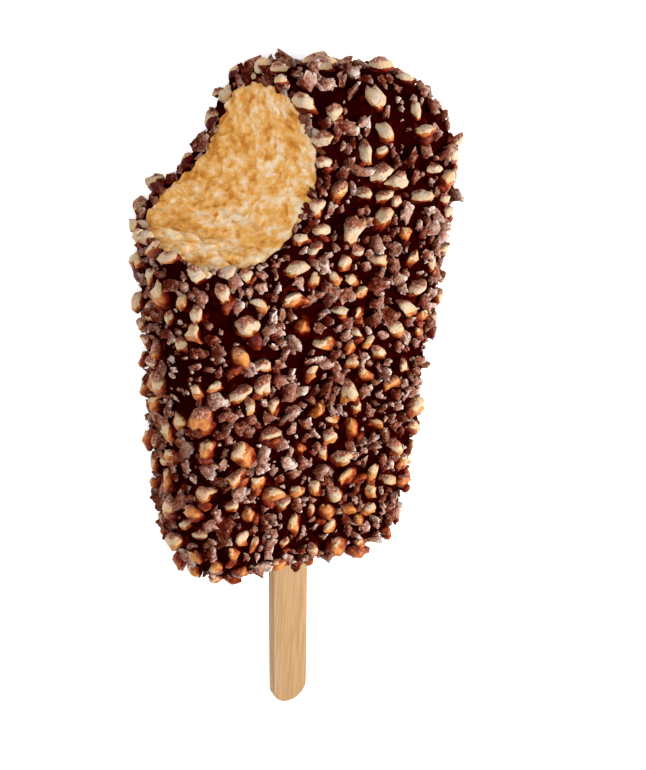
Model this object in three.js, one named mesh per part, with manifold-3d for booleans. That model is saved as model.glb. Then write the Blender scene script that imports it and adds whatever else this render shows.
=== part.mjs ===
// Ice cream bar on a flat wooden stick, lying on its back, in millimetres.
// +X runs across the bar, +Y from the stick end to the top end, +Z out of the front face.
// The origin is on the surface that the bar rests on, under the middle of the bar.
//
// Three pieces: an ice cream core, a chocolate coat with chopped nuts and crumbs set in it, and the stick.
// One bite is gone from the top left corner, so the core and the cut edge of the coat show there.

import * as THREE from "three";
import { MeshSurfaceSampler } from "three/addons/math/MeshSurfaceSampler.js";
import { SimplexNoise } from "three/addons/math/SimplexNoise.js";
import { mergeVertices } from "three/addons/utils/BufferGeometryUtils.js";
import Module from "manifold-3d";

const wasm = await Module();
wasm.setup();

// The whole bar, measured over its nuts.
const bar = {
  length: 100.5,
  topWidth: 65.6,
  endWidth: 51.6,
  thickness: 29,
  topCorner: 21.5,
  endCorner: 13,
  edge: 11,
};
const restPlane = 0;
const midHeight = bar.thickness / 2;

// The coat: nuts and crumbs stand on a layer of chocolate, which is thicker at the top end,
// where it gathered as the dipped bar hung from its stick.
const nutStand = 2.4;
const chocolateThickness = 1.3;
const topGather = 1.6;
const fitGap = 0.3;
const nutSpacing = 6;
const nutRadius = [3, 4];
const nutHeight = [1.6, 3];
const crumbHeight = 0.4;
const crumbPitch = 2.6;
const nutTries = 9000;

// The stick leans a little, and is set a little off the middle, as a dipped bar's is.
const stick = {
  length: 92,
  width: 8.2,
  thickness: 2.4,
  showing: 37.75,
  lean: THREE.MathUtils.degToRad(2.87),
  offsetX: 1.5,
  height: midHeight + 1,
  edgeBevel: 0.25,
  arcSteps: 9,
};

// The bite: a row of teeth leaves a round scoop, deeper at the front than at the back. Towards the back
// its outline is flatter: the radius grows, and the middle moves out past the bar's corner.
// The crisp coat stops short of the soft ice cream's cut, so it overhangs, most of all at the front.
const bite = {
  radius: 18.1,
  backRadius: 32,
  backOut: 15.1,
  backCurve: 1.2,
  corner: new THREE.Vector3(-0.74, 0.67, 0),
  frontCentre: new THREE.Vector3(-21.6, 34.6, midHeight + 10.8),
  backCentre: new THREE.Vector3(-30.6, 42.6, midHeight - 11),
  coatOverhang: 0.9,
  coatFrontShift: new THREE.Vector3(-1.1, 0.7, 0),
  overrun: 24,
  toothMarks: 14,
  toothDepth: 0.6,
  roughness: 0.45,
  roughPitch: 3.2,
  aroundSteps: 56,
  alongSteps: 28,
};

// Mesh steps: fine where the coat shows, coarse where layers only meet.
const outerStep = 2.9;
const layerStep = 6;
const settleRounds = 12;
const mergeDistance = 1e-3;

const crumbSeed = 7;
const nutSeed = 31;
const noise = new SimplexNoise({ random: seededRandom(crumbSeed) });

function seededRandom(seed) {
  let state = seed;
  return () => {
    state = (state * 1664525 + 1013904223) % 4294967296;
    return state / 4294967296;
  };
}

// The same bar with its surface moved in by a distance.
function insetBar(by) {
  return {
    length: bar.length - 2 * by,
    topWidth: bar.topWidth - 2 * by,
    endWidth: bar.endWidth - 2 * by,
    thickness: bar.thickness - 2 * by,
    topCorner: bar.topCorner - by,
    endCorner: bar.endCorner - by,
    edge: bar.edge - by,
  };
}

// Distance to a corner of radius r, where a and b are the distances past its two sides.
function roundedDistance(a, b, r) {
  const outside = Math.hypot(Math.max(a + r, 0), Math.max(b + r, 0));
  return outside + Math.min(Math.max(a + r, b + r), 0) - r;
}

// Distance in plan from the tapered outline with round corners.
function outlineDistance(x, y, size) {
  const { lerp, clamp, smoothstep } = THREE.MathUtils;
  const along = clamp(y / size.length + 0.5, 0, 1);
  const halfWidth = lerp(size.endWidth, size.topWidth, along) / 2;
  const slope = (size.topWidth - size.endWidth) / 2 / size.length;
  const corner = lerp(size.endCorner, size.topCorner, smoothstep(along, 0.2, 0.8));
  const pastSide = (Math.abs(x) - halfWidth) / Math.hypot(1, slope);
  return roundedDistance(pastSide, Math.abs(y) - size.length / 2, corner);
}

function barDistance(p, size) {
  const pastFace = Math.abs(p.z - midHeight) - size.thickness / 2;
  return roundedDistance(outlineDistance(p.x, p.y, size), pastFace, size.edge);
}

// The outward direction at a point near the bar's surface.
function barNormal(p, size, target) {
  const reach = 0.02;
  const probe = new THREE.Vector3();
  for (const axis of ["x", "y", "z"]) {
    probe.copy(p)[axis] += reach;
    const ahead = barDistance(probe, size);
    probe[axis] -= 2 * reach;
    target[axis] = ahead - barDistance(probe, size);
  }
  return target.normalize();
}

// A closed grid of points, settled from a box onto the bar's surface. Bars of any inset share one grid.
function barGeometry(size, step) {
  const counts = [bar.topWidth, bar.length, bar.thickness].map((span) => Math.round(span / step));
  const box = new THREE.BoxGeometry(size.topWidth, size.length, size.thickness, ...counts);
  box.translate(0, 0, midHeight);
  const merged = positionsOnly(box);
  const places = merged.getAttribute("position");
  const p = new THREE.Vector3();
  const outward = new THREE.Vector3();
  for (let i = 0; i < places.count; i++) {
    p.fromBufferAttribute(places, i);
    const along = p.y / size.length + 0.5;
    p.x *= THREE.MathUtils.lerp(size.endWidth / size.topWidth, 1, along);
    for (let round = 0; round < settleRounds; round++) {
      barNormal(p, size, outward);
      p.addScaledVector(outward, -barDistance(p, size));
    }
    places.setXYZ(i, p.x, p.y, p.z);
  }
  return merged;
}

function positionsOnly(geometry) {
  const bare = geometry.clone();
  for (const name of ["normal", "uv"]) bare.deleteAttribute(name);
  return mergeVertices(bare, mergeDistance);
}

// Places for the nuts, no two closer than their spacing. The first one is under the middle of the bar.
function scatterNuts(surface) {
  const random = seededRandom(nutSeed);
  const sampler = new MeshSurfaceSampler(new THREE.Mesh(surface)).setRandomGenerator(random).build();
  const [smallRadius, largeRadius] = nutRadius;
  const [lowHeight, tallHeight] = nutHeight;
  const restingNut = { place: new THREE.Vector3(0, 0, nutStand), radius: largeRadius, height: tallHeight };
  const nuts = [restingNut];
  const place = new THREE.Vector3();
  for (let i = 0; i < nutTries; i++) {
    sampler.sample(place);
    if (nuts.some((nut) => nut.place.distanceTo(place) < nutSpacing)) continue;
    nuts.push({
      place: place.clone(),
      radius: THREE.MathUtils.lerp(smallRadius, largeRadius, random()),
      height: THREE.MathUtils.lerp(lowHeight, tallHeight, random()),
    });
  }
  return nuts;
}

// How far the nuts and crumbs stand out at a point on the chocolate.
function coatRelief(p, nuts) {
  let height = crumbHeight * (1 + noise.noise3d(p.x / crumbPitch, p.y / crumbPitch, p.z / crumbPitch));
  for (const nut of nuts) {
    const share = nut.place.distanceTo(p) / nut.radius;
    if (share < 1) height = Math.max(height, nut.height * Math.sqrt(1 - share ** 3));
  }
  return height;
}

function coatSurface() {
  const chocolate = insetBar(nutStand);
  const surface = barGeometry(chocolate, outerStep);
  const nuts = scatterNuts(surface);
  const places = surface.getAttribute("position");
  const p = new THREE.Vector3();
  const outward = new THREE.Vector3();
  for (let i = 0; i < places.count; i++) {
    p.fromBufferAttribute(places, i);
    barNormal(p, chocolate, outward);
    p.addScaledVector(outward, coatRelief(p, nuts));
    places.setXYZ(i, p.x, p.y, p.z);
  }
  return surface;
}

// The space that the bite took: a rough, scalloped round hole along the line between two centres.
function biteGeometry(frontCentre, frontRadius) {
  const axis = frontCentre.clone().sub(bite.backCentre);
  const depth = axis.length();
  const cylinderAxis = new THREE.Vector3(0, 1, 0);
  const turn = new THREE.Quaternion().setFromUnitVectors(cylinderAxis, axis.clone().normalize());
  const corner = bite.corner.clone().applyQuaternion(turn.clone().invert()).setY(0).normalize();
  const length = depth + 2 * bite.overrun;
  const geometry = positionsOnly(new THREE.CylinderGeometry(1, 1, length, bite.aroundSteps, bite.alongSteps));
  const places = geometry.getAttribute("position");
  const p = new THREE.Vector3();
  for (let i = 0; i < places.count; i++) {
    p.fromBufferAttribute(places, i);
    const isMiddle = Math.hypot(p.x, p.z) < 0.5;
    const backShare = Math.max(0, 0.5 - p.y / depth) ** bite.backCurve;
    const radius = frontRadius + (bite.backRadius - bite.radius) * backShare;
    const teeth = Math.abs(Math.sin((Math.atan2(p.x, p.z) * bite.toothMarks) / 2));
    const roughPlace = new THREE.Vector3(p.x * radius, p.y, p.z * radius).divideScalar(bite.roughPitch);
    const rough = noise.noise3d(roughPlace.x, roughPlace.y, roughPlace.z);
    const grown = isMiddle ? 1 : radius + bite.toothDepth * teeth + bite.roughness * rough;
    const middle = corner.clone().multiplyScalar(bite.backOut * backShare);
    places.setXYZ(i, middle.x + p.x * grown, p.y, middle.z + p.z * grown);
  }
  geometry.applyQuaternion(turn);
  const middle = frontCentre.clone().add(bite.backCentre).multiplyScalar(0.5);
  return geometry.translate(middle.x, middle.y, middle.z);
}

// The stick's flat outline with two half-round ends, grown on all sides to make its slot.
function stickGeometry(grow) {
  const half = stick.width / 2 + grow;
  const straight = (stick.length - stick.width) / 2;
  const outline = new THREE.Shape();
  outline.absarc(0, straight, half, 0, Math.PI);
  outline.absarc(0, -straight, half, Math.PI, 2 * Math.PI);
  outline.closePath();
  const bevel = grow ? 0 : stick.edgeBevel;
  const depth = stick.thickness + 2 * grow - 2 * bevel;
  const geometry = new THREE.ExtrudeGeometry(outline, {
    depth,
    curveSegments: stick.arcSteps,
    bevelEnabled: bevel > 0,
    bevelThickness: bevel,
    bevelSize: bevel,
    bevelOffset: -bevel,
    bevelSegments: 1,
  });
  return geometry.translate(0, 0, -depth / 2);
}

// Puts a stick-shaped geometry where the stick is: its outer end hangs out past the bar's end.
function placeStick(geometry) {
  const middleFromEnd = stick.length / 2 - stick.showing;
  return geometry
    .translate(0, middleFromEnd, 0)
    .rotateZ(stick.lean)
    .translate(stick.offsetX, -bar.length / 2, stick.height);
}

// The ground that the coat is flattened on where the bar rests.
function groundGeometry() {
  const depth = 10;
  const spread = 2 * bar.length;
  return new THREE.BoxGeometry(spread, spread, depth).translate(0, 0, restPlane - depth / 2);
}

function toSolid(geometry) {
  const merged = positionsOnly(geometry);
  return new wasm.Manifold(
    new wasm.Mesh({
      numProp: 3,
      vertProperties: merged.getAttribute("position").array,
      triVerts: new Uint32Array(merged.index.array),
    }),
  );
}

function toGeometry(solid) {
  const mesh = solid.getMesh();
  const geometry = new THREE.BufferGeometry();
  geometry.setAttribute("position", new THREE.BufferAttribute(mesh.vertProperties, 3));
  geometry.setIndex(new THREE.BufferAttribute(mesh.triVerts, 1));
  geometry.computeVertexNormals();
  return geometry;
}

function namedMesh(name, geometry, colour, roughness) {
  const material = new THREE.MeshStandardMaterial({ color: colour, roughness, metalness: 0 });
  const mesh = new THREE.Mesh(geometry, material);
  mesh.name = name;
  return mesh;
}

const slot = toSolid(placeStick(stickGeometry(fitGap)));

// The bar inside its coat, moved in by a distance and stopping short at the top end.
function innerSolid(by) {
  const size = insetBar(by);
  size.length -= topGather;
  return toSolid(barGeometry(size, layerStep).translate(0, -topGather / 2, 0));
}

function makeIceCream() {
  const bitten = toSolid(biteGeometry(bite.frontCentre, bite.radius));
  const solid = innerSolid(nutStand + chocolateThickness).subtract(bitten).subtract(slot);
  return namedMesh("ice_cream", toGeometry(solid), "#e0a458", 0.75);
}

function makeCoat() {
  const coatFront = bite.frontCentre.clone().add(bite.coatFrontShift);
  const bitten = toSolid(biteGeometry(coatFront, bite.radius - bite.coatOverhang));
  const solid = toSolid(coatSurface())
    .subtract(innerSolid(nutStand + chocolateThickness - fitGap))
    .subtract(bitten)
    .subtract(toSolid(groundGeometry()))
    .subtract(slot);
  return namedMesh("chocolate_coat", toGeometry(solid), "#3a1710", 0.6);
}

function makeStick() {
  return namedMesh("stick", placeStick(stickGeometry(0)), "#e2c08f", 0.7);
}

const iceCreamBar = new THREE.Group();
iceCreamBar.add(makeIceCream(), makeCoat(), makeStick());

export default iceCreamBar;
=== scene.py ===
import math

import bmesh
import bpy
import numpy as np
from mathutils import Matrix, Vector, kdtree, noise
from mathutils.bvhtree import BVHTree


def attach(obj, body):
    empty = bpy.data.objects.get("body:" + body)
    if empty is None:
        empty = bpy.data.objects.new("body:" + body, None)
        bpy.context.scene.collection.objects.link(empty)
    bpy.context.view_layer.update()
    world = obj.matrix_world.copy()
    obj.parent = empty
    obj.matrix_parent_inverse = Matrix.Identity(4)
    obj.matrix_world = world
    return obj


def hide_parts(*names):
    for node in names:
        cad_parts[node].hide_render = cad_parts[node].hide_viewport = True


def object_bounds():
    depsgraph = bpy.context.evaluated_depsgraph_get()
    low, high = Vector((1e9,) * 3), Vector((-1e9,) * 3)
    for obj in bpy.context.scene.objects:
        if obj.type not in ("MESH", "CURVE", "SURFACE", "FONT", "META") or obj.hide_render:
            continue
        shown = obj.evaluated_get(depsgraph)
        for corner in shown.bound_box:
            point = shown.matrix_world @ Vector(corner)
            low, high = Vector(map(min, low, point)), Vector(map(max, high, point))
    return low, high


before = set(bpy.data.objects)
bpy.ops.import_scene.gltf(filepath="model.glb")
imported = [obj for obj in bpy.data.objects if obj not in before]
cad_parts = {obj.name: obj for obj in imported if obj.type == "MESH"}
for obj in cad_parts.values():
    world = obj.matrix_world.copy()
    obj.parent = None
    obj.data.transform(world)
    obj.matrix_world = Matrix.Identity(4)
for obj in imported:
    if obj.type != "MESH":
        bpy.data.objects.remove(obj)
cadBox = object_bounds()  # the CAD model's box, before any piece stands in for a node

# Shapes are worked out in millimetres and turned into metres when a piece is finished.
# +X across the bar, +Y to the top end, +Z out of the front face, floor at z = 0.
mm = 0.001
insideGap = 0.01  # bits stay this far inside the CAD model's box
levelWithin = 1e-4  # an edge is level if its ends differ less in height
rimTurn = 0.5  # and on a rim if the normals beside it differ more

bar = {  # the bar over its nuts
    "length": 100.5,
    "topWidth": 65.6,
    "endWidth": 51.6,
    "thickness": 29.0,
    "topCorner": 21.5,
    "endCorner": 12.0,
    "edge": 11.0,  # rounding of the long edges
    "midHeight": 14.5,
    "nutStand": 2.4,  # how far the nuts stand out of the chocolate
    "chocolate": 1.2,
    "topGather": 1.6,  # chocolate gathers at the top end
    "coreGap": 0.08,  # between the ice cream and the chocolate
    "segments": 10,  # of a rounded edge of the chocolate
    "coreSegments": 8,
}


def newObject(name, data):
    made = bpy.data.objects.new(name, data)
    bpy.context.scene.collection.objects.link(made)
    return made


def fromBmesh(name, bm):
    mesh = bpy.data.meshes.new(name)
    bm.to_mesh(mesh)
    bm.free()
    return newObject(name, mesh)


def settle(piece):  # applies the piece's modifiers
    graph = bpy.context.evaluated_depsgraph_get()
    mesh = bpy.data.meshes.new_from_object(piece.evaluated_get(graph))
    piece.modifiers.clear()
    piece.data = mesh
    mesh.name = piece.name
    return piece


def cut(piece, cutter):
    modifier = piece.modifiers.new("cut", "BOOLEAN")
    modifier.operation = "DIFFERENCE"
    modifier.solver = "MANIFOLD"
    modifier.object = cutter
    settle(piece)
    bpy.data.objects.remove(cutter)
    return piece


def coordinates(mesh):
    co = np.empty(len(mesh.vertices) * 3, np.float32)
    mesh.vertices.foreach_get("co", co)
    return co.reshape(-1, 3)


def setCoordinates(mesh, co):
    mesh.vertices.foreach_set("co", np.asarray(co, np.float32).ravel())
    mesh.update()


def normalsOf(mesh):
    normals = np.empty(len(mesh.vertices) * 3, np.float32)
    mesh.vertex_normals.foreach_get("vector", normals)
    return normals.reshape(-1, 3)


def setAttribute(mesh, name, values):
    attribute = mesh.attributes.new(name, "FLOAT", "POINT")
    attribute.data.foreach_set("value", np.asarray(values, np.float32))


def shadeSmooth(mesh, sharpAngle):
    mesh.polygons.foreach_set("use_smooth", [True] * len(mesh.polygons))
    mesh.set_sharp_from_angle(angle=math.radians(sharpAngle))


def finishPiece(piece, material, node):
    piece.data.transform(Matrix.Scale(mm, 4))
    piece.data.materials.clear()
    piece.data.materials.append(material)
    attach(piece, "root")
    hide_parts(node)
    print(f"{piece.name}: {sum(len(p.vertices) - 2 for p in piece.data.polygons)} triangles")


def uprightEdges(bm):
    return [e for e in bm.edges if e.verts[0].co.z * e.verts[1].co.z < 0]


def rimEdges(bm):  # level edges between a flat face and a side
    return [
        e for e in bm.edges
        if abs(e.verts[0].co.z - e.verts[1].co.z) < levelWithin
        and abs(e.link_faces[0].normal.z - e.link_faces[1].normal.z) > rimTurn
    ]


def roundEdges(bm, edges, radius, segments):
    bmesh.ops.bevel(bm, geom=edges, offset=radius, offset_type="OFFSET", affect="EDGES",
                    segments=segments, profile=0.5, material=-1)


# The bar's plain body, moved in by a distance.
def barBlock(name, inset, topShort=0.0, segments=bar["segments"]):
    length = bar["length"] - 2 * inset - topShort
    topWidth = bar["topWidth"] - 2 * inset
    endShare = (bar["endWidth"] - 2 * inset) / topWidth
    thickness = bar["thickness"] - 2 * inset
    bm = bmesh.new()
    bmesh.ops.create_cube(bm, size=1.0)
    bmesh.ops.scale(bm, vec=(topWidth, length, thickness), verts=bm.verts)
    endVerts = [v for v in bm.verts if v.co.y < 0]
    bmesh.ops.scale(bm, vec=(endShare, 1, 1), verts=endVerts)
    for corner, side in ((bar["topCorner"], 1), (bar["endCorner"], -1)):
        corners = [e for e in uprightEdges(bm) if e.verts[0].co.y * side > 0]
        roundEdges(bm, corners, corner - inset, segments)
    roundEdges(bm, rimEdges(bm), bar["edge"] - inset, segments)
    bmesh.ops.translate(bm, vec=(0, -topShort / 2, bar["midHeight"]), verts=bm.verts)
    bmesh.ops.recalc_face_normals(bm, faces=bm.faces)
    return fromBmesh(name, bm)


def remeshed(piece, voxel):
    modifier = piece.modifiers.new("even", "REMESH")
    modifier.mode = "VOXEL"
    modifier.voxel_size = voxel
    modifier.use_smooth_shade = True
    return settle(piece)


bite = {
    "radius": 17.6,
    "front": Vector((-21.9, 34.9, 25.3)),
    "back": Vector((-30.6, 42.6, 3.5)),
    "backRadius": 32.0,  # the bite is flatter towards the back
    "backOut": 15.1,  # and its middle further out past the bar's corner
    "backCurve": 1.2,
    "corner": Vector((-0.74, 0.67, 0.0)),  # the way out past the bitten corner
    "overrun": 18.0,  # how far the cutter goes past both ends of the bite's axis
    "toothMarks": 14,
    "toothDepth": 0.3,
    "streakTurn": math.radians(30),  # the marks run across the bar and up to its front
    "streakScale": (0.85, 1.0, 1.1),
    "step": 0.26,  # mesh size on the bitten ice cream
    "coatStep": 0.5,
    "coatBack": 0.12,  # the chocolate breaks off this much further back
    "sharp": 60,
}

torn = {  # heights in mm of the broken and bitten surfaces, and the pitches of their noise
    "wave": 0.55,
    "wavePitch": 0.33,
    "notch": 0.5,
    "notchPitch": 0.8,
    "swell": 0.12,
    "swellPitch": 0.3,
    "lump": 0.07,
    "lumpPitch": 0.8,
    "fold": 0.02,
    "foldPitch": 0.8,
    "pit": 0.34,
    "pitPitch": 0.95,
    "pitFrom": 0.1,
    "grain": 0.03,
    "grainPitch": 2.6,
}


def bitePlacement():
    axis = bite["front"] - bite["back"]
    middle = (bite["front"] + bite["back"]) / 2
    return Matrix.Translation(middle) @ axis.to_track_quat("Z", "Y").to_matrix().to_4x4()


def inBite(points):  # points seen from the bite's axis
    back = bitePlacement().inverted()
    return np.asarray(points) @ np.array(back.to_3x3()).T + np.array(back.translation)


def biteSection(z):  # middle and radius of the bite's round outline at a place along its axis
    length = (bite["front"] - bite["back"]).length
    share = np.clip(0.5 - np.asarray(z) / length, 0, None) ** bite["backCurve"]
    corner = bitePlacement().to_3x3().inverted() @ bite["corner"]
    corner = np.array((corner.x, corner.y)) / math.hypot(corner.x, corner.y)
    middle = np.multiply.outer(bite["backOut"] * share, corner)
    return middle, bite["radius"] + (bite["backRadius"] - bite["radius"]) * share


def pastBite(points):  # distance past the bite's outline
    local = inBite(points)
    middle, radius = biteSection(local[:, 2])
    return np.linalg.norm(local[:, :2] - middle, axis=1) - radius


def towardBite(points):  # the directions from points to the middle of the bite
    local = inBite(points)
    middle, _ = biteSection(local[:, 2])
    inward = np.concatenate([middle - local[:, :2], np.zeros((len(local), 1))], axis=1)
    inward /= np.linalg.norm(inward, axis=1)[:, None]
    return inward @ np.array(bitePlacement().to_3x3()).T


# Ragged waves along the rim, in mm. The shifts keep the layers of noise apart.
def broken(p):
    wave = noise.noise(p * torn["wavePitch"])
    notch = noise.noise(p * torn["notchPitch"] + Vector((3, 8, 1)))
    return torn["wave"] * wave + torn["notch"] * notch


def streaked(p):  # a point near the bite's axis, seen along the marks and drawn out that way
    turned = Matrix.Rotation(bite["streakTurn"], 3, "Y") @ (bitePlacement() @ p)
    return turned * Vector(bite["streakScale"])


def wrinkles(p):  # the soft torn surface, in mm
    q = streaked(p)
    swell = noise.noise(q * torn["swellPitch"] + Vector((40, 3, 7)))
    soft = torn["swell"] * swell + torn["lump"] * noise.noise(q * torn["lumpPitch"])
    folds = 1 - 2 * abs(noise.noise(q * torn["foldPitch"] + Vector((5, 21, 2))))
    pits = max(0.0, noise.noise(q * torn["pitPitch"] + Vector((9, 2, 5))) - torn["pitFrom"])
    grain = noise.noise(q * torn["grainPitch"])
    return soft - torn["fold"] * folds + torn["pit"] * pits + torn["grain"] * grain


def toothMarks(p):
    turn = math.atan2(p.y, p.x)
    return bite["toothDepth"] * abs(math.sin(turn * bite["toothMarks"] / 2))


def biteCutter(name, grow, step, relief):
    depth = (bite["front"] - bite["back"]).length + 2 * bite["overrun"]
    bm = bmesh.new()
    bmesh.ops.create_cone(bm, cap_ends=True, segments=int(2 * math.pi * bite["radius"] / step),
                          radius1=1.0, radius2=1.0, depth=depth)
    bmesh.ops.subdivide_edges(bm, edges=uprightEdges(bm), cuts=int(depth / step))
    middles, radii = biteSection([v.co.z for v in bm.verts])
    for v, (middleX, middleY), radius in zip(bm.verts, middles.tolist(), radii.tolist()):
        out = Vector((v.co.x, v.co.y, 0))
        middle = Vector((middleX, middleY, v.co.z))
        on = middle + out * radius
        v.co = on + out * (grow + toothMarks(out) + relief(on))
    bmesh.ops.transform(bm, matrix=bitePlacement(), verts=bm.verts)
    bmesh.ops.recalc_face_normals(bm, faces=bm.faces)
    return fromBmesh(name, bm)


stick = {
    "length": 92.0,
    "width": 8.2,
    "thickness": 2.4,
    "showing": 37.72,
    "lean": math.radians(2.87),
    "offsetX": 1.5,
    "height": 15.5,
    "edgeRound": 0.28,
    "edgeSegments": 3,
    "endRound": 0.995,  # share of half the width
    "endSegments": 24,
    "slotGap": 0.1,
    "sharp": 40,
}


def stickPlacement():
    start = Matrix.Translation((0, stick["length"] / 2 - stick["showing"], 0))
    lean = Matrix.Rotation(stick["lean"], 4, "Z")
    return Matrix.Translation((stick["offsetX"], -bar["length"] / 2, stick["height"])) @ lean @ start


def stickMesh(name, grow=0.0):
    bm = bmesh.new()
    bmesh.ops.create_cube(bm, size=1.0)
    size = (stick["width"] + 2 * grow, stick["length"] + 2 * grow, stick["thickness"] + 2 * grow)
    bmesh.ops.scale(bm, vec=size, verts=bm.verts)
    roundEdges(bm, uprightEdges(bm), size[0] / 2 * stick["endRound"], stick["endSegments"])
    if not grow:
        roundEdges(bm, rimEdges(bm), stick["edgeRound"], stick["edgeSegments"])
    bmesh.ops.transform(bm, matrix=stickPlacement(), verts=bm.verts)
    bmesh.ops.recalc_face_normals(bm, faces=bm.faces)
    return fromBmesh(name, bm)


class SpotGrid:  # tells whether a spot is clear of the spots taken before
    def __init__(self, cell):
        self.cell = cell
        self.cells = {}

    def key(self, p):
        return tuple(int(math.floor(c / self.cell)) for c in p)

    def add(self, p, reach):
        self.cells.setdefault(self.key(p), []).append((p, reach))

    def clear(self, p, reach):
        kx, ky, kz = self.key(p)
        for x in (kx - 1, kx, kx + 1):
            for y in (ky - 1, ky, ky + 1):
                for z in (kz - 1, kz, kz + 1):
                    for q, r in self.cells.get((x, y, z), ()):
                        if math.dist(p, q) < reach + r:
                            return False
        return True


def surfaceSamples(mesh, count, rng):
    mesh.calc_loop_triangles()
    triangles = np.empty(len(mesh.loop_triangles) * 3, np.int32)
    mesh.loop_triangles.foreach_get("vertices", triangles)
    corners = triangles.reshape(-1, 3)
    co = coordinates(mesh)
    a, b, c = (co[corners[:, i]] for i in range(3))
    normals = np.cross(b - a, c - a)
    area = np.linalg.norm(normals, axis=1)
    chosen = rng.choice(len(corners), count, p=area / area.sum())
    u, v = rng.random(count), rng.random(count)
    flip = u + v > 1
    u[flip], v[flip] = 1 - u[flip], 1 - v[flip]
    weights = np.stack([1 - u - v, u, v], axis=1)
    points = (co[corners[chosen]] * weights[:, :, None]).sum(1)
    return points, normals[chosen] / area[chosen, None]


def clearOfStick(points, margin):
    back = stickPlacement().inverted()
    local = np.asarray(points) @ np.array(back.to_3x3()).T + np.array(back.translation)
    inStick = np.abs(local[:, 0]) < stick["width"] / 2 + margin
    inStick &= np.abs(local[:, 2]) < stick["thickness"] / 2 + margin
    inStick &= np.asarray(points)[:, 1] < 0
    return ~inStick


def surfaceTree(mesh, unit):  # finds the nearest place on a mesh, in millimetres
    return BVHTree.FromPolygons([v.co / unit for v in mesh.vertices], [p.vertices for p in mesh.polygons])


def outsideCore(points, margin):  # leaves out the inner wall of the chocolate
    return np.array([coreTree.find_nearest(Vector(p), margin)[0] is None for p in points.tolist()])


spread = {  # how bits of every kind are spread over the chocolate
    "cell": 6.0,  # no two bits have to keep further apart
    "besideBite": 0.9,  # width of the band that counts as beside the bite
    "topFrom": 0.2,  # shares of the length and width, from the middle, past which it gets barer
    "leftFrom": 0.1,
    "breakBand": 1.5,  # the broken edge lies this near to the bite's outline
    "breakFacing": 0.6,  # and faces the bite this squarely
}


def bitSize(plan, rng):
    least, most = plan["size"]
    return least + (most - least) * rng.random() ** plan["sizePower"]


# Spots on a mesh for one kind of bit: a point, the way out, a size, and the values that a bit takes from
# what carries it, if it has any. Spots beside the bite come first, then the rest of the bar.
# thinPitch and thinBelow leave bare patches. topBare and leftBare make more of them there.
def scatter(mesh, plan, grid):
    rng = np.random.default_rng(plan["seed"])
    points, outward = surfaceSamples(mesh, plan["samples"], rng)
    pastRim = pastBite(points)
    free = (pastRim > plan["rimMargin"]) & clearOfStick(points, plan["stickMargin"])
    free &= outsideCore(points, plan["coreMargin"])
    beside = free & (pastRim < plan["rimMargin"] + spread["besideBite"])
    order = np.concatenate([np.flatnonzero(beside), np.flatnonzero(free & ~beside)])
    spots = []
    atRim = 0
    for i in order:
        if len(spots) >= plan["count"]:
            break
        if beside[i] and atRim >= plan["atRim"]:
            continue
        spot = Vector(points[i].tolist())
        barer = plan["topBare"] * max(0.0, spot.y / bar["length"] - spread["topFrom"])
        barer += plan["leftBare"] * max(0.0, -spot.x / bar["topWidth"] - spread["leftFrom"])
        if not beside[i] and noise.noise(spot * plan["thinPitch"]) < plan["thinBelow"] + barer:
            continue
        size = bitSize(plan, rng) * (plan["rimSize"] if beside[i] else 1.0)
        reach = size * plan["reach"] * (plan["rimSpread"] if beside[i] else 1.0)
        if grid.clear(spot, reach):
            grid.add(tuple(spot), size * plan["reach"])
            spots.append((points[i], outward[i], size, None))
            atRim += bool(beside[i])
    print(f"{len(spots)} spots, {atRim} at the bite")
    return spots, rng


# Spots on the broken edge of the chocolate, which faces the bite, with the values of a lump that shows
# its pale inside.
def breakSpots(mesh, plan, grid):
    rng = np.random.default_rng(plan["seed"])
    points, outward = surfaceSamples(mesh, plan["samples"], rng)
    near = np.abs(pastBite(points)) < spread["breakBand"]
    points, outward = points[near], outward[near]
    inward = towardBite(points)
    facing = (outward * inward).sum(1) > spread["breakFacing"]
    facing &= outsideCore(points, plan["coreMargin"])
    spots = []
    for point, out in zip(points[facing], inward[facing]):
        if len(spots) >= plan["count"]:
            break
        size = rng.uniform(*plan["size"])
        if grid.clear(point.tolist(), size * plan["reach"]):
            grid.add(point.tolist(), size * plan["reach"])
            carrier = {
                "tone": rng.random() * plan["tone"],
                "lift": plan["lift"],
                "side": rng.uniform(*plan["side"]),
            }
            spots.append((point - out * plan["inset"], out, size, carrier))
    print(f"{len(spots)} spots on the broken edge")
    return spots


# Nut bits tucked in below some of the nuts, painted amber as glaze and painted shade, with the values of a
# lump's foot.
def glazeShadeSpots(mesh, spots, plan):
    rng = np.random.default_rng(plan["seed"])
    tree = surfaceTree(mesh, 1.0)
    below = Vector(plan["below"]).normalized()
    bits = []
    for point, _, size, _ in spots:
        if rng.random() > plan["share"]:
            continue
        turn = Matrix.Rotation(rng.normal(scale=plan["turn"]), 3, "Z")
        lower = Vector(point.tolist()) + turn @ below * size * plan["shift"]
        place, out, _, _ = tree.find_nearest(lower)
        if pastBite([place])[0] < plan["rimMargin"] or not clearOfStick([place], plan["stickMargin"])[0]:
            continue
        carrier = {"tone": plan["tone"], "lift": plan["lift"], "side": rng.uniform(*plan["side"])}
        bits.append((np.array(place), np.array(out), size * rng.uniform(*plan["size"]), carrier))
    print(f"{len(bits)} glazed bits")
    return bits


def attributeValues(mesh, name):
    values = np.empty(len(mesh.vertices), np.float32)
    mesh.attributes[name].data.foreach_get("value", values)
    return values


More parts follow.
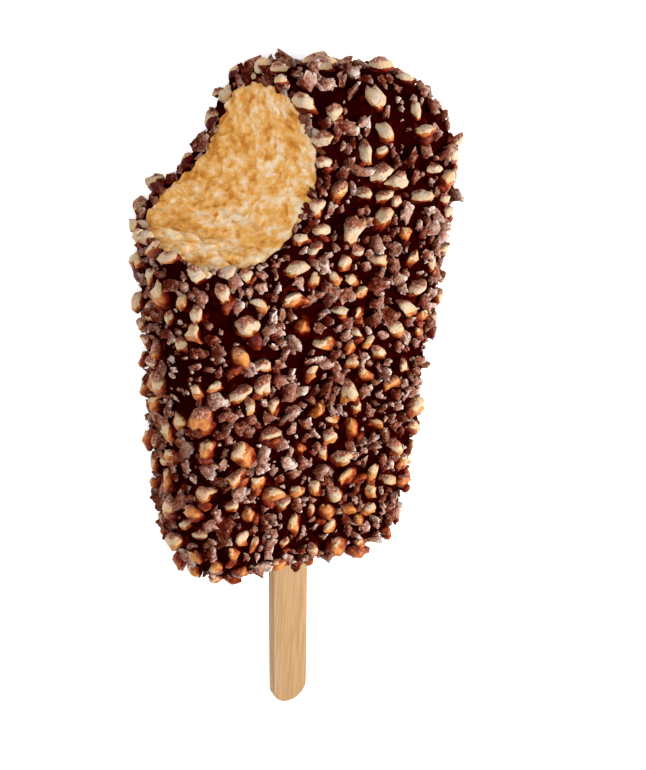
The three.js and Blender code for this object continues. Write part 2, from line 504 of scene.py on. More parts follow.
# Spots for grains that stick to the upper parts of a mesh of lumps, each with its carrier's values.
def spotsOn(mesh, plan):
    rng = np.random.default_rng(plan["seed"])
    points, outward = surfaceSamples(mesh, plan["samples"], rng)
    nearest = kdtree.KDTree(len(mesh.vertices))
    for v in mesh.vertices:
        nearest.insert(v.co, v.index)
    nearest.balance()
    carried = {name: attributeValues(mesh, name) for name in ("tone", "lift", "side")}
    taken = SpotGrid(plan["size"][1])
    spots = []
    for point, out in zip(points, outward):
        if len(spots) >= plan["count"]:
            break
        _, index, _ = nearest.find(point)
        if carried["lift"][index] < plan["liftFrom"]:
            continue
        size = bitSize(plan, rng)
        if taken.clear(point.tolist(), size * plan["reach"]):
            taken.add(point.tolist(), size * plan["reach"])
            carrier = {name: float(values[index]) for name, values in carried.items()}
            spots.append((point, out, size, carrier))
    print(f"{len(spots)} grains")
    return spots, rng


lumpForm = {  # what every lump has in common
    "cube": 1.5,  # it starts from this cube and a ball 2 across
    "swellPitch": 1.1,
    "chopDepth": 0.95,  # share that a chop takes of what stands past it
    "least": 0.35,  # share that roughness leaves of a radius
    "shift": 50,  # moves each lump to another part of the noise
    "evenLift": 0.3,  # the place on a grain that has just its carrier's lift
}


# A rough lump one across: a cube's grid drawn towards a ball, swollen, chopped flat and roughened.
def lump(rng, plan):
    bm = bmesh.new()
    bmesh.ops.create_cube(bm, size=lumpForm["cube"])
    bmesh.ops.subdivide_edges(bm, edges=bm.edges, cuts=plan["cuts"], use_grid_fill=True)
    shift = Vector(rng.uniform(-lumpForm["shift"], lumpForm["shift"], 3))
    for v in bm.verts:
        out = v.co.normalized()
        swollen = 1 + plan["swell"] * noise.noise(out * lumpForm["swellPitch"] - shift)
        v.co = out.lerp(v.co, plan["boxy"]) * swollen
    for _ in range(rng.integers(*plan["chops"])):
        normal = Vector(rng.normal(size=3) * plan["chopAxes"]).normalized()
        offset = rng.uniform(*plan["chopAt"])
        for v in bm.verts:
            past = v.co.dot(normal) - offset
            if past > 0:
                v.co -= normal * past * lumpForm["chopDepth"]
    for v in bm.verts:
        roughened = 1 + plan["rough"] * noise.noise(v.co.normalized() * plan["roughPitch"] + shift)
        v.co *= max(lumpForm["least"], roughened)
    co = np.array([v.co for v in bm.verts])
    faces = [[v.index for v in f.verts] for f in bm.faces]
    bm.free()
    return co / np.abs(co).max(0) / 2, faces


def insideBox(co):  # keeps bits inside the CAD model's box, pressed flat on the floor
    low, high = (np.array(corner) / mm for corner in cadBox)
    return np.clip(co, low + insideGap, high - insideGap)


# Joins one lump for each spot into a mesh, with attributes for the material:
# tone one value a lump, lift from foot to top, rim from middle to edge, side from one end to the other.
def placeLumps(name, spots, rng, plan):
    places, faces, tones, lifts, rims, sides = [], [], [], [], [], []
    sideAxis = np.array(Vector(plan["sideAxis"]).normalized())
    start = 0
    for point, outward, size, carrier in spots:
        co, lumpFaces = lump(rng, plan)
        rims.append(2 * np.hypot(co[:, 0], co[:, 1]))
        co *= size * np.array([1.0, rng.uniform(*plan["width"]), rng.uniform(*plan["height"])])
        co[:, 1] += rng.uniform(*plan["bend"]) * (co[:, 0] ** 2) / size
        tip = Vector(outward) + Vector(rng.normal(scale=plan["tip"], size=3))
        spin = Matrix.Rotation(rng.uniform(0, 2 * math.pi), 3, "Z")
        turned = tip.to_track_quat("Z", "Y").to_matrix() @ spin
        bit = co @ np.array(turned).T
        up = bit @ outward
        low, high = up.min(), up.max()
        lift = (up - low) / (high - low)
        bit += point - np.asarray(outward) * (low + rng.uniform(*plan["sunk"]) * (high - low))
        around = (bit - bit.mean(0)) @ sideAxis
        places.append(bit)
        faces.extend([start + i for i in face] for face in lumpFaces)
        side = around / np.abs(around).max() + rng.normal(scale=plan["sideSpread"])
        tone = rng.random()
        if carrier:  # a grain takes after the crumb that it sticks to, a broken bit after its plan
            tone = carrier["tone"]
            lift = carrier["lift"] + plan["ownLift"] * (lift - lumpForm["evenLift"])
            side = carrier["side"] + plan["ownSide"] * side
        tones.append(np.full(len(co), tone))
        lifts.append(lift)
        sides.append(side)
        start += len(co)
    mesh = bpy.data.meshes.new(name)
    mesh.from_pydata(insideBox(np.concatenate(places)).tolist(), [], faces)
    for attribute, values in (("tone", tones), ("lift", lifts), ("rim", rims), ("side", sides)):
        setAttribute(mesh, attribute, np.concatenate(values))
    shadeSmooth(mesh, plan["sharp"])
    return newObject(name, mesh)


def addNode(tree, kind, inputs=None, **settings):
    added = tree.nodes.new(kind)
    for key, value in settings.items():
        setattr(added, key, value)
    for key, value in (inputs or {}).items():
        if isinstance(value, bpy.types.NodeSocket):
            tree.links.new(value, added.inputs[key])
        else:
            added.inputs[key].default_value = value
    return added


def newGroup(name, inputs, outputs):
    group = bpy.data.node_groups.new(name, "ShaderNodeTree")
    for socket, (kind, value) in inputs.items():
        made = group.interface.new_socket(socket, in_out="INPUT", socket_type=kind)
        made.default_value = value
    for socket, kind in outputs.items():
        group.interface.new_socket(socket, in_out="OUTPUT", socket_type=kind)
    given = addNode(group, "NodeGroupInput").outputs
    out = addNode(group, "NodeGroupOutput").inputs
    return group, given, out


def mathOf(tree, operation, *values):
    return addNode(tree, "ShaderNodeMath", dict(enumerate(values)), operation=operation).outputs[0]


def weighted(tree, start, *parts):  # start, plus each value times its share
    total = start
    for value, share in parts:
        total = mathOf(tree, "MULTIPLY_ADD", value, share, total)
    return total


def ranged(tree, value, low, high):
    return addNode(tree, "ShaderNodeMapRange", {"Value": value, "From Min": low, "From Max": high},
                   interpolation_type="SMOOTHSTEP").outputs["Result"]


def cloudOf(tree, where, scale, detail):
    return addNode(tree, "ShaderNodeTexNoise", {
        "Vector": where,
        "Scale": scale,
        "Detail": detail,
        "Roughness": 0.6,
    }).outputs["Fac"]


def mottleGroup():  # soft patches, as a mask
    group, given, out = newGroup("mottle", {
        "Vector": ("NodeSocketVector", (0, 0, 0)),
        "Scale": ("NodeSocketFloat", 300.0),
        "Detail": ("NodeSocketFloat", 3.0),
        "Low": ("NodeSocketFloat", 0.4),
        "High": ("NodeSocketFloat", 0.6),
    }, {"Mask": "NodeSocketFloat"})
    cloud = cloudOf(group, given["Vector"], given["Scale"], given["Detail"])
    group.links.new(ranged(group, cloud, given["Low"], given["High"]), out["Mask"])
    return group


def reliefGroup():  # coarse and fine grain, as a height
    group, given, out = newGroup("relief", {
        "Vector": ("NodeSocketVector", (0, 0, 0)),
        "Coarse Scale": ("NodeSocketFloat", 600.0),
        "Fine Scale": ("NodeSocketFloat", 2000.0),
        "Fine Share": ("NodeSocketFloat", 0.4),
    }, {"Height": "NodeSocketFloat"})
    coarse = cloudOf(group, given["Vector"], given["Coarse Scale"], 4.0)
    fine = cloudOf(group, given["Vector"], given["Fine Scale"], 4.0)
    group.links.new(weighted(group, coarse, (fine, given["Fine Share"])), out["Height"])
    return group


def edgeGroup():  # a mask that follows a value over a ragged border
    group, given, out = newGroup("raggedEdge", {
        "Vector": ("NodeSocketVector", (0, 0, 0)),
        "Value": ("NodeSocketFloat", 0.0),
        "Scale": ("NodeSocketFloat", 900.0),
        "Ragged": ("NodeSocketFloat", 0.8),
        "Low": ("NodeSocketFloat", 0.4),
        "High": ("NodeSocketFloat", 0.6),
    }, {"Mask": "NodeSocketFloat"})
    centred = mathOf(group, "SUBTRACT", cloudOf(group, given["Vector"], given["Scale"], 3.0), 0.5)
    moved = weighted(group, given["Value"], (centred, given["Ragged"]))
    group.links.new(ranged(group, moved, given["Low"], given["High"]), out["Mask"])
    return group


def grainGroup():  # small rounded grains with seams between them
    group, given, out = newGroup("grain", {
        "Vector": ("NodeSocketVector", (0, 0, 0)),
        "Scale": ("NodeSocketFloat", 2000.0),
        "Low": ("NodeSocketFloat", 0.4),
        "High": ("NodeSocketFloat", 0.7),
    }, {"Seam": "NodeSocketFloat", "Height": "NodeSocketFloat"})
    distance = addNode(group, "ShaderNodeTexVoronoi", {
        "Vector": given["Vector"],
        "Scale": given["Scale"],
        "Detail": 1.0,
        "Roughness": 0.5,
    }).outputs["Distance"]
    group.links.new(ranged(group, distance, given["Low"], given["High"]), out["Seam"])
    group.links.new(mathOf(group, "SUBTRACT", 1.0, distance), out["Height"])
    return group


groups = {
    "mottle": mottleGroup(),
    "relief": reliefGroup(),
    "raggedEdge": edgeGroup(),
    "grain": grainGroup(),
}


def placed(tree, name, inputs):  # a group in a material, as its one output or a tuple of them
    node = addNode(tree, "ShaderNodeGroup", inputs, node_tree=groups[name])
    return node.outputs[0] if len(node.outputs) == 1 else tuple(node.outputs)


def blend(tree, share, low, high):
    return addNode(tree, "ShaderNodeMix", {0: share, 6: low, 7: high}, data_type="RGBA").outputs[2]


def newMaterial(name, look):
    material = bpy.data.materials.new(name)
    material.use_nodes = True
    tree = material.node_tree
    shader = tree.nodes["Principled BSDF"]
    shader.inputs["Roughness"].default_value = look["roughness"]
    shader.inputs["Specular IOR Level"].default_value = look["specular"]
    where = addNode(tree, "ShaderNodeTexCoord").outputs["Object"]
    return material, tree, shader, where


def attributeOf(tree, name):
    return addNode(tree, "ShaderNodeAttribute", attribute_name=name).outputs["Fac"]


def bumpFrom(tree, shader, height, look):
    bump = addNode(tree, "ShaderNodeBump", {
        "Height": height,
        "Distance": look["bump"],
        "Strength": look["bumpStrength"],
    })
    tree.links.new(bump.outputs["Normal"], shader.inputs["Normal"])


def rampColour(tree, value, stops):
    ramp = addNode(tree, "ShaderNodeValToRGB", {"Fac": value})
    elements = ramp.color_ramp.elements
    while len(elements) < len(stops):
        elements.new(1.0)
    for element, (position, colour) in zip(elements, stops):
        element.position = position
        element.color = (*colour, 1)
    return ramp.outputs["Color"]


chocolateLook = {
    "roughness": 0.35,
    "specular": 0.0,
    "deep": (0.0105, 0.0001, 0.0001, 1),
    "patches": (0.017, 0.0003, 0.0001, 1),
    "thin": (0.10, 0.006, 0.002, 1),  # where it climbs round a nut
    "bump": 0.0006,
    "bumpStrength": 1.0,
}


def chocolateMaterial():
    look = chocolateLook
    material, tree, shader, where = newMaterial("chocolate", look)
    patches = placed(tree, "mottle", {"Vector": where, "Scale": 420.0, "Low": 0.5, "High": 0.75})
    colour = blend(tree, patches, look["deep"], look["patches"])
    thin = placed(tree, "raggedEdge", {"Vector": where, "Value": attributeOf(tree, "thin"), "Scale": 600.0,
                                       "Ragged": 1.2, "Low": 0.92, "High": 1.4})
    colour = blend(tree, thin, colour, look["thin"])
    tree.links.new(colour, shader.inputs["Base Color"])
    height = placed(tree, "relief", {"Vector": where, "Coarse Scale": 700.0, "Fine Scale": 2600.0})
    bumpFrom(tree, shader, height, look)
    return material


nutLook = {
    "roughness": 0.55,
    "glazeShadeSmoother": 0.25,
    "specular": 0.1,
    "subsurface": 0.45,
    "subsurfaceRadius": (1.0, 0.45, 0.15),
    "subsurfaceScale": 0.0012,
    "pale": (0.440, 0.372, 0.292, 1),
    "palePatches": (0.450, 0.335, 0.225, 1),
    "golden": (0.52, 0.345, 0.195, 1),  # some nuts are roasted further
    "goldenPatches": (0.45, 0.245, 0.105, 1),
    "seam": (0.54, 0.32, 0.15, 1),
    # edge is painted shade towards the rim of each nut
    "edge": (0.50, 0.295, 0.135, 1),
    # the foot colour is painted shade on each nut's lower side
    "footShade": (0.52, 0.335, 0.17, 1),
    "cocoa": (0.42, 0.225, 0.16, 1),
    "cocoaSeam": (0.20, 0.06, 0.03, 1),
    "amber": (  # painted shade under each nut, partly a glaze: from bright orange at its edge to deep chocolate colour at the foot
        (0.10, (0.430, 0.175, 0.050)),
        (0.34, (0.255, 0.060, 0.012)),
        (0.56, (0.140, 0.012, 0.002)),
        (0.80, (0.060, 0.002, 0.001)),
    ),
    "topEnd": (-0.02, 0.045),  # the amber glaze and painted shade thin out between these places along the bar
    "bump": 0.00055,
    "bumpStrength": 1.0,
}


def nutMaterial():
    look = nutLook
    material, tree, shader, where = newMaterial("choppedNut", look)
    shader.inputs["Subsurface Weight"].default_value = look["subsurface"]
    shader.inputs["Subsurface Radius"].default_value = look["subsurfaceRadius"]
    shader.inputs["Subsurface Scale"].default_value = look["subsurfaceScale"]
    tone, lift, rim, side = (attributeOf(tree, name) for name in ("tone", "lift", "rim", "side"))
    patches = placed(tree, "mottle", {"Vector": where, "Scale": 800.0, "Detail": 5.0,
                                      "Low": 0.4, "High": 0.62})
    seam, grain = placed(tree, "grain", {"Vector": where, "Scale": 1700.0, "Low": 0.42, "High": 0.8})
    pale = blend(tree, patches, look["pale"], look["palePatches"])
    golden = blend(tree, patches, look["golden"], look["goldenPatches"])
    body = blend(tree, ranged(tree, tone, 0.8, 1.05), pale, golden)
    body = blend(tree, mathOf(tree, "MULTIPLY", seam, 0.2), body, look["seam"])
    # golden towards each nut's rim: painted shade of the falloff at its edges
    edge = mathOf(tree, "MULTIPLY", ranged(tree, rim, 0.55, 1.1), 0.7)
    body = blend(tree, edge, body, look["edge"])
    alongBar = addNode(tree, "ShaderNodeSeparateXYZ", {"Vector": where}).outputs["Y"]
    topEnd = ranged(tree, alongBar, *look["topEnd"])
    glazeShadeTone = ranged(tree, tone, 0.96, 0.985)  # the tone of the bits painted wholly in amber glaze and shade
    # painted shade: golden brown low on each nut and on the side away from sideAxis
    footShade = weighted(tree, 0.0, (side, -0.65), (lift, -1.0), (glazeShadeTone, 0.6), (topEnd, -0.4))
    body = blend(tree, ranged(tree, footShade, -1.22, -0.9), body, look["footShade"])
    glazeShadeMask = placed(tree, "raggedEdge", {"Vector": where, "Value": footShade, "Scale": 650.0, "Ragged": 0.6,
                                        "Low": -0.96, "High": -0.89})
    cloud = placed(tree, "mottle", {"Vector": where, "Scale": 850.0, "Low": 0.3, "High": 0.7})
    # darker towards each nut's foot and its lower side: painted shade
    depth = weighted(tree, 1.1, (side, -0.25), (lift, -1.3), (cloud, 0.35))
    body = blend(tree, glazeShadeMask, body, rampColour(tree, depth, look["amber"]))
    roughness = weighted(tree, look["roughness"], (glazeShadeMask, -look["glazeShadeSmoother"]))
    tree.links.new(roughness, shader.inputs["Roughness"])
    cocoa = placed(tree, "raggedEdge", {"Vector": where, "Value": side, "Scale": 700.0, "Ragged": 1.1,
                                        "Low": 0.5, "High": 0.85})
    body = blend(tree, cocoa, body, blend(tree, seam, look["cocoa"], look["cocoaSeam"]))
    tree.links.new(body, shader.inputs["Base Color"])
    height = placed(tree, "relief", {"Vector": where, "Coarse Scale": 900.0, "Fine Scale": 3200.0,
                                     "Fine Share": 0.5})
    height = weighted(tree, height, (grain, 0.3))
    height = mathOf(tree, "MULTIPLY", height, weighted(tree, 1.0, (glazeShadeMask, -0.7)))  # smoother in the amber glaze and painted shade
    bumpFrom(tree, shader, height, look)
    return material


crumbLook = {
    "roughness": 0.8,
    "specular": 0.0,
    "dustAndShading": (  # from dark biscuit in painted shade to pale cocoa dust with painted highlights
        (0.04, (0.080, 0.007, 0.003)),
        (0.22, (0.162, 0.037, 0.019)),
        (0.42, (0.302, 0.128, 0.083)),
        (0.64, (0.475, 0.300, 0.235)),
        (0.90, (0.720, 0.600, 0.535)),
    ),
    "bump": 0.0009,
    "bumpStrength": 1.0,
}


def crumbMaterial():
    look = crumbLook
    material, tree, shader, where = newMaterial("chocolateCrumb", look)
    tone, lift, rim, side = (attributeOf(tree, name) for name in ("tone", "lift", "rim", "side"))
    seam, grain = placed(tree, "grain", {"Vector": where, "Scale": 1900.0, "Low": 0.35, "High": 0.8})
    cloud = placed(tree, "mottle", {"Vector": where, "Scale": 1000.0, "Detail": 4.0, "Low": 0.3, "High": 0.7})
    specks = placed(tree, "mottle", {"Vector": where, "Scale": 2600.0, "Detail": 2.0,
                                     "Low": 0.3, "High": 0.7})
    # painted light and shade: paler on the side towards sideAxis, at the rims and higher up, darker low down
    # and on the far side, over real dust and tone
    litSide = ranged(tree, side, -0.9, 0.6)
    sideEnd = ranged(tree, side, 0.55, 1.0)
    edge = ranged(tree, rim, 0.7, 1.15)
    dustAndShading = weighted(tree, -0.33, (lift, 0.22), (litSide, 0.36), (edge, 0.32), (cloud, 0.28),
                    (specks, 0.14), (seam, -0.14), (tone, 0.32), (sideEnd, 0.2))
    tree.links.new(rampColour(tree, dustAndShading, look["dustAndShading"]), shader.inputs["Base Color"])
    height = placed(tree, "relief", {"Vector": where, "Coarse Scale": 1100.0, "Fine Scale": 3400.0,
                                     "Fine Share": 0.7})
    bumpFrom(tree, shader, weighted(tree, height, (grain, 0.25)), look)
    return material


creamLook = {
    "roughness": 0.55,
    "specular": 0.15,
    "colours": (  # from caramel hollows darkened as painted shade to pale ridges with a painted highlight
        (0.02, (0.440, 0.150, 0.015)),
        (0.34, (0.615, 0.302, 0.062)),
        (0.58, (0.665, 0.385, 0.140)),
        (0.90, (0.720, 0.560, 0.385)),
    ),
    "bump": 0.0007,
    "bumpStrength": 0.8,
}


def iceCreamMaterial():
    look = creamLook
    material, tree, shader, where = newMaterial("caramelIceCream", look)
    turned = addNode(tree, "ShaderNodeMapping", {
        "Vector": where,
        "Rotation": (0, bite["streakTurn"], 0),
    }).outputs["Vector"]
    along = addNode(tree, "ShaderNodeMapping", {
        "Vector": turned,
        "Scale": bite["streakScale"],
    }).outputs["Vector"]
    ridge = ranged(tree, attributeOf(tree, "ridge"), -0.15, 0.12)
    # paler towards the bite's front end
    paleTowardFront = ranged(tree, attributeOf(tree, "frontShare"), 0.55, 1.0)
    patches = placed(tree, "mottle", {"Vector": along, "Scale": 330.0, "Low": 0.3, "High": 0.7})
    specks = placed(tree, "mottle", {"Vector": along, "Scale": 900.0, "Low": 0.3, "High": 0.7})
    fine = placed(tree, "mottle", {"Vector": where, "Scale": 2200.0, "Low": 0.3, "High": 0.7})
    cloud = addNode(tree, "ShaderNodeTexNoise", {
        "Vector": along,
        "Scale": 280.0,
        "Detail": 2.0,
        "Roughness": 0.55,
        "Distortion": 0.7,
    }).outputs["Fac"]
    veins = ranged(tree, mathOf(tree, "ABSOLUTE", mathOf(tree, "SUBTRACT", cloud, 0.5)), 0.055, 0.0)
    # paler on ridges and darker in hollows: painted highlight and shade of the relief, with caramel patches
    paleness = weighted(tree, -0.35, (ridge, 0.52), (specks, 0.28), (fine, 0.12), (veins, 0.12),
                        (patches, 0.5), (paleTowardFront, 0.14))
    tree.links.new(rampColour(tree, paleness, look["colours"]), shader.inputs["Base Color"])
    height = placed(tree, "relief", {"Vector": where, "Coarse Scale": 1000.0, "Fine Scale": 3000.0,
                                     "Fine Share": 0.4})
    bumpFrom(tree, shader, height, look)
    return material


woodLook = {
    "roughness": 0.6,
    "specular": 0.2,
    "light": (0.325, 0.210, 0.110, 1),
    "lightGrain": (0.285, 0.170, 0.080, 1),
    "warm": (0.300, 0.180, 0.086, 1),
    "warmGrain": (0.250, 0.133, 0.054, 1),
    "drawnOut": 0.035,  # the grain's pitch along the stick against that across it
    "bump": 0.0001,
    "bumpStrength": 0.6,
}


def woodMaterial():
    look = woodLook
    material, tree, shader, where = newMaterial("birch", look)
    along = addNode(tree, "ShaderNodeMapping", {
        "Vector": where,
        "Rotation": (0, 0, -stick["lean"]),
        "Scale": (1.0, look["drawnOut"], 1.0),
    }).outputs["Vector"]
    grain = placed(tree, "mottle", {"Vector": along, "Scale": 2600.0, "Low": 0.35, "High": 0.65})
    bands = placed(tree, "mottle", {"Vector": along, "Scale": 500.0, "Detail": 2.0, "Low": 0.3, "High": 0.7})
    light = blend(tree, grain, look["light"], look["lightGrain"])
    warm = blend(tree, grain, look["warm"], look["warmGrain"])
    tree.links.new(blend(tree, bands, light, warm), shader.inputs["Base Color"])
    height = placed(tree, "relief", {"Vector": along, "Coarse Scale": 2600.0, "Fine Scale": 6000.0})
    bumpFrom(tree, shader, height, look)
    return material


print("stick")
stickPiece = stickMesh("stick_wood")
shadeSmooth(stickPiece.data, stick["sharp"])
finishPiece(stickPiece, woodMaterial(), "stick")

print("ice cream")
coreInset = bar["nutStand"] + bar["chocolate"]
core = barBlock("ice_cream_core", coreInset, bar["topGather"], bar["coreSegments"])
cut(core, biteCutter("creamBite", 0.0, bite["step"], lambda p: broken(p) + wrinkles(p)))
cut(core, stickMesh("creamSlot", stick["slotGap"]))
ridges, frontShares = [], []
biteLength = (bite["front"] - bite["back"]).length
coreLocal = inBite(coordinates(core.data))
middles, radii = biteSection(coreLocal[:, 2])
for (x, y, z), (middleX, middleY), radius in zip(coreLocal.tolist(), middles.tolist(), radii.tolist()):
    middle = Vector((middleX, middleY, z))
    ridges.append(-wrinkles(middle + (Vector((x, y, z)) - middle).normalized() * radius))
    frontShares.append(0.5 + z / biteLength)
setAttribute(core.data, "ridge", ridges)
setAttribute(core.data, "frontShare", frontShares)
shadeSmooth(core.data, bite["sharp"])
finishPiece(core, iceCreamMaterial(), "ice_cream")
coreTree = surfaceTree(core.data, mm)  # for outsideCore

nuts = {
    "seed": 11,
    "samples": 60000,
    "count": 405,
    "atRim": 20,
    "rimMargin": -0.1,
    "coreMargin": 0.9,
    "rimSpread": 1.15,  # nuts beside the bite keep further apart
    "stickMargin": 1.6,
    "thinPitch": 0.16,
    "thinBelow": -0.12,
    "topBare": 0.7,
    "leftBare": 0.0,
    "size": (3.5, 6.1),  # length
    "sizePower": 1.3,
    "rimSize": 0.9,  # bits beside the bite are smaller
    "reach": 0.38,  # share of the length kept clear
    "width": (0.5, 0.8),  # shares of the length
    "height": (0.45, 0.7),
    "bend": (-0.6, 0.6),
    "tip": 0.3,  # how much they lean
    "sunk": (0.1, 0.3),  # share of the height in the chocolate
    "cuts": 2,
    "boxy": 0.0,  # 0 a ball, 1 a cube
    "swell": 0.6,
    "rough": 0.26,
    "roughPitch": 2.6,
    "chops": (0, 3),  # flat cuts, fewer than the last number
    "chopAxes": (1.0, 1.0, 1.0),
    "chopAt": (0.55, 0.92),  # how far from the middle
    "sideAxis": (-0.25, 0.95, 0.0),  # away from the side painted in amber shade and glaze
    "sideSpread": 0.3,
    "ownLift": 0.5,  # shares that a bit's own values keep where it has a carrier's
    "ownSide": 0.3,
    "sharp": 72,  # degrees
}

# bits painted in amber glaze and shade below the nuts
glazeShadeBits = {
    "seed": 71,
    "share": 0.3,
    "below": (0.35, -0.94, 0.0),  # the way from the nut above
    "turn": 0.5,  # how much that way varies
    "shift": 0.36,  # share of the nut's length
    "rimMargin": 0.6,
    "stickMargin": 1.0,
    "size": (0.5, 0.85),
    "tone": 0.99,
    "lift": 0.3,
    "side": (-0.5, 0.3),
}

brokenNuts = {
    "seed": 19,
    "samples": 60000,
    "count": 8,
    "coreMargin": 0.15,
    "size": (2.8, 4.6),
    "reach": 0.5,
    "inset": 0.4,
    "tone": 0.5,
    "lift": 1.2,
    "side": (-0.2, 0.5),
}

brokenCrumbs = {
    "seed": 29,
    "samples": 60000,
    "count": 80,
    "coreMargin": 0.15,
    "size": (1.6, 3.0),
    "reach": 0.36,
    "inset": 0.2,
    "tone": 0.7,
    "lift": 0.5,
    "side": (-0.6, 0.7),
}

crumbs = {
    "seed": 23,
    "samples": 110000,
    "count": 1000,
    "atRim": 190,
    "rimMargin": -0.7,
    "coreMargin": 0.5,
    "rimSpread": 0.8,
    "stickMargin": 0.7,
    "thinPitch": 0.24,
    "thinBelow": -0.26,
    "topBare": 1.6,
    "leftBare": 0.3,
    "size": (2.2, 5.3),
    "sizePower": 1.1,
    "rimSize": 0.78,
    "reach": 0.29,
    "width": (0.5, 0.95),
    "height": (0.32, 0.56),
    "bend": (-0.6, 0.6),
    "tip": 0.45,
    "sunk": (0.05, 0.3),
    "cuts": 2,
    "boxy": 0.3,
    "swell": 0.8,
    "rough": 0.58,
    "roughPitch": 2.0,
    "chops": (1, 4),
    "chopAxes": (1.0, 1.0, 0.5),
    "chopAt": (0.45, 0.9),
    "sideAxis": (0.85, 0.15, 0.5),  # towards the side with painted light
    "sideSpread": 0.2,
    "ownLift": 0.4,
    "ownSide": 0.6,
    "sharp": 70,
}

grit = {
    "seed": 37,
    "samples": 40000,
    "count": 850,
    "atRim": 50,
    "rimMargin": -0.7,
    "coreMargin": 0.5,
    "rimSpread": 1.0,
    "stickMargin": 0.4,
    "thinPitch": 0.3,
    "thinBelow": -0.1,
    "topBare": 0.5,
    "leftBare": 0.0,
    "size": (0.6, 1.9),
    "sizePower": 1.5,
    "rimSize": 1.0,
    "reach": 0.3,
    "width": (0.6, 1.0),
    "height": (0.5, 0.9),
    "bend": (0.0, 0.0),
    "tip": 0.5,
    "sunk": (0.1, 0.3),
    "cuts": 1,
    "boxy": 0.4,
    "swell": 0.5,
    "rough": 0.6,
    "roughPitch": 2.0,
    "chops": (1, 3),
    "chopAxes": (1.0, 1.0, 1.0),
    "chopAt": (0.6, 1.0),
    "sideAxis": (0.85, 0.15, 0.5),
    "sideSpread": 0.3,
    "sharp": 34,
}

grains = {
    "seed": 53,
    "samples": 16000,
    "count": 1400,
    "liftFrom": 0.4,
    "size": (0.4, 1.1),
    "sizePower": 1.5,
    "reach": 0.42,
    "width": (0.7, 1.0),
    "height": (0.6, 0.9),
    "bend": (0.0, 0.0),
    "tip": 0.4,
    "sunk": (0.4, 0.65),
    "cuts": 1,
    "boxy": 0.4,
    "swell": 0.5,
    "rough": 0.4,
    "roughPitch": 2.0,
    "chops": (1, 3),
    "chopAxes": (1.0, 1.0, 1.0),
    "chopAt": (0.6, 1.0),
    "sideAxis": (0.85, 0.15, 0.5),
    "sideSpread": 0.1,
    "ownLift": 0.2,
    "ownSide": 0.2,
    "sharp": 34,
}

bed = {  # the chocolate that the bits lie in
    "step": 0.7,  # mesh size
    "lumps": 0.22,
    "lumpPitch": 0.5,
    "ripples": 0.1,
    "ripplePitch": 1.4,
    "rise": 0.5,  # chocolate climbs round each nut
    "riseReach": 1.1,
    "nutShare": 0.36,  # share of a nut's length that counts as its radius
    "sharp": 50,
}

print("chocolate")
shell = remeshed(barBlock("chocolate", bar["nutStand"]), bed["step"])
grid = SpotGrid(spread["cell"])
nutSpots, nutRng = scatter(shell.data, nuts, grid)

nearNut = kdtree.KDTree(len(nutSpots))
for i, (point, *_) in enumerate(nutSpots):
    nearNut.insert(point, i)
nearNut.balance()
co, normals = coordinates(shell.data), normalsOf(shell.data)
heights = np.empty(len(co))
climbs = np.empty(len(co))
for i, p in enumerate(co):
    _, nearest, distance = nearNut.find(p)
    past = max(0.0, distance - nutSpots[nearest][2] * bed["nutShare"])
    spot = Vector(p.tolist())
    heights[i] = bed["lumps"] * noise.noise(spot * bed["lumpPitch"])
    heights[i] += bed["ripples"] * noise.noise(spot * bed["ripplePitch"])
    climbs[i] = math.exp(-((past / bed["riseReach"]) ** 2))
heights += bed["rise"] * climbs
setCoordinates(shell.data, co + normals * heights[:, None])
setAttribute(shell.data, "thin", climbs)
cut(shell, barBlock("hollow", coreInset - bar["coreGap"], bar["topGather"], bar["coreSegments"]))
cut(shell, biteCutter("coatBite", bite["coatBack"], bite["coatStep"], broken))
cut(shell, stickMesh("coatSlot", stick["slotGap"]))
shadeSmooth(shell.data, bed["sharp"])
crumbSpots, crumbRng = scatter(shell.data, crumbs, grid)
gritSpots, gritRng = scatter(shell.data, grit, grid)
nutSpots += glazeShadeSpots(shell.data, nutSpots, glazeShadeBits)
breakGrid = SpotGrid(spread["cell"])
nutSpots += breakSpots(shell.data, brokenNuts, breakGrid)
crumbSpots += breakSpots(shell.data, brokenCrumbs, breakGrid)
finishPiece(shell, chocolateMaterial(), "chocolate_coat")

print("nuts")
finishPiece(placeLumps("nuts", nutSpots, nutRng, nuts), nutMaterial(), "chocolate_coat")

print("crumbs")
biscuit = crumbMaterial()
crumbPiece = placeLumps("crumbs", crumbSpots, crumbRng, crumbs)
grainSpots, grainRng = spotsOn(crumbPiece.data, grains)
finishPiece(crumbPiece, biscuit, "chocolate_coat")
finishPiece(placeLumps("crumb_grains", grainSpots, grainRng, grains), biscuit, "chocolate_coat")
finishPiece(placeLumps("grit", gritSpots, gritRng, grit), biscuit, "chocolate_coat")

floorLook = {
    "roughness": 0.8,
    "specular": 0.2,
    "colour": (0.8, 0.8, 0.8, 1),
    "glow": 0.6,  # keeps the shadow faint
}

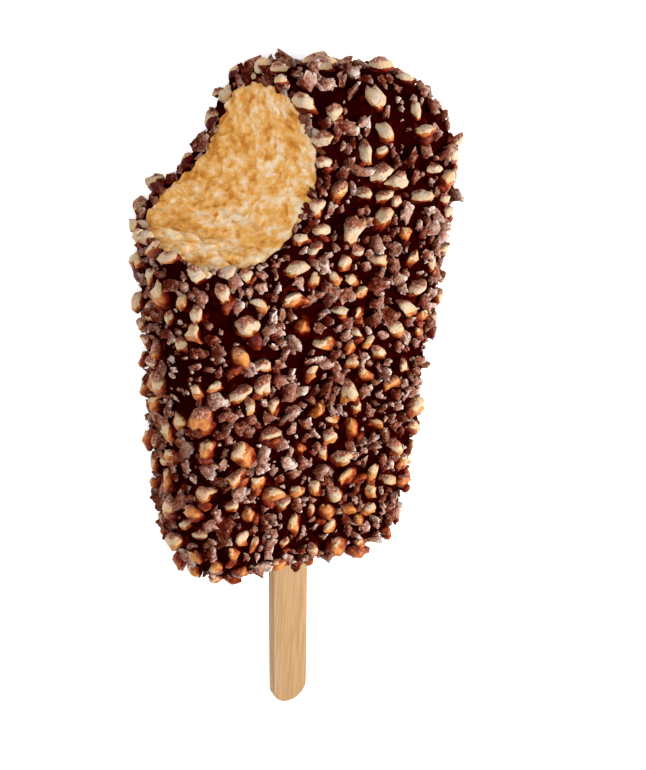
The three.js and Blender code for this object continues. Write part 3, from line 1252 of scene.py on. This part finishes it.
studio = {
    "floorSize": 6.0,
    "world": 0.22,
    "keyPlace": (0.45, -0.06, 0.45),
    "keySize": 0.14,
    "keyPower": 8.2,
    "fillPlace": (-0.30, 0.10, 0.6),
    "fillSize": 0.3,
    "fillPower": 4.2,
    "aim": (0, 0, 0.015),
}

print("studio")
floorBm = bmesh.new()
bmesh.ops.create_grid(floorBm, x_segments=1, y_segments=1, size=studio["floorSize"] / 2)
floor = fromBmesh("floor", floorBm)
floorMaterial, _, floorShader, _ = newMaterial("floor", floorLook)
floorShader.inputs["Base Color"].default_value = floorLook["colour"]
floorShader.inputs["Emission Color"].default_value = floorLook["colour"]
floorShader.inputs["Emission Strength"].default_value = floorLook["glow"]
floor.data.materials.append(floorMaterial)

world = bpy.data.worlds.new("studio")
world.use_nodes = True
background = world.node_tree.nodes["Background"]
background.inputs["Color"].default_value = (1, 1, 1, 1)
background.inputs["Strength"].default_value = studio["world"]
bpy.context.scene.world = world


def areaLight(name, location, size, power):
    light = bpy.data.lights.new(name, "AREA")
    light.size = size
    light.energy = power
    lamp = newObject(name, light)
    lamp.location = location
    aim = Vector(studio["aim"]) - Vector(location)
    lamp.rotation_euler = aim.to_track_quat("-Z", "Y").to_euler()


areaLight("key", studio["keyPlace"], studio["keySize"], studio["keyPower"])
areaLight("fill", studio["fillPlace"], studio["fillSize"], studio["fillPower"])

view = {
    "place": Vector((-88.64, 66.53, 180.98)),
    "aim": Vector((7.884, -13.045, 14.5)),
    "roll": math.radians(3.693),
    "lens": 48.8,
    "clipStart": 0.01,
}


def makeCamera():
    back = (view["place"] - view["aim"]).normalized()
    right = Vector((0, 1, 0)).cross(back).normalized()
    up = back.cross(right)
    turned = Matrix((right, up, back)).transposed() @ Matrix.Rotation(view["roll"], 3, "Z")
    lens = bpy.data.cameras.new("camera")
    lens.lens = view["lens"]
    lens.clip_start = view["clipStart"]
    camera = newObject("camera", lens)
    camera.matrix_world = Matrix.Translation(view["place"] * mm) @ turned.to_4x4()
    bpy.context.scene.camera = camera


makeCamera()
bpy.context.scene.view_settings.view_transform = "Standard"
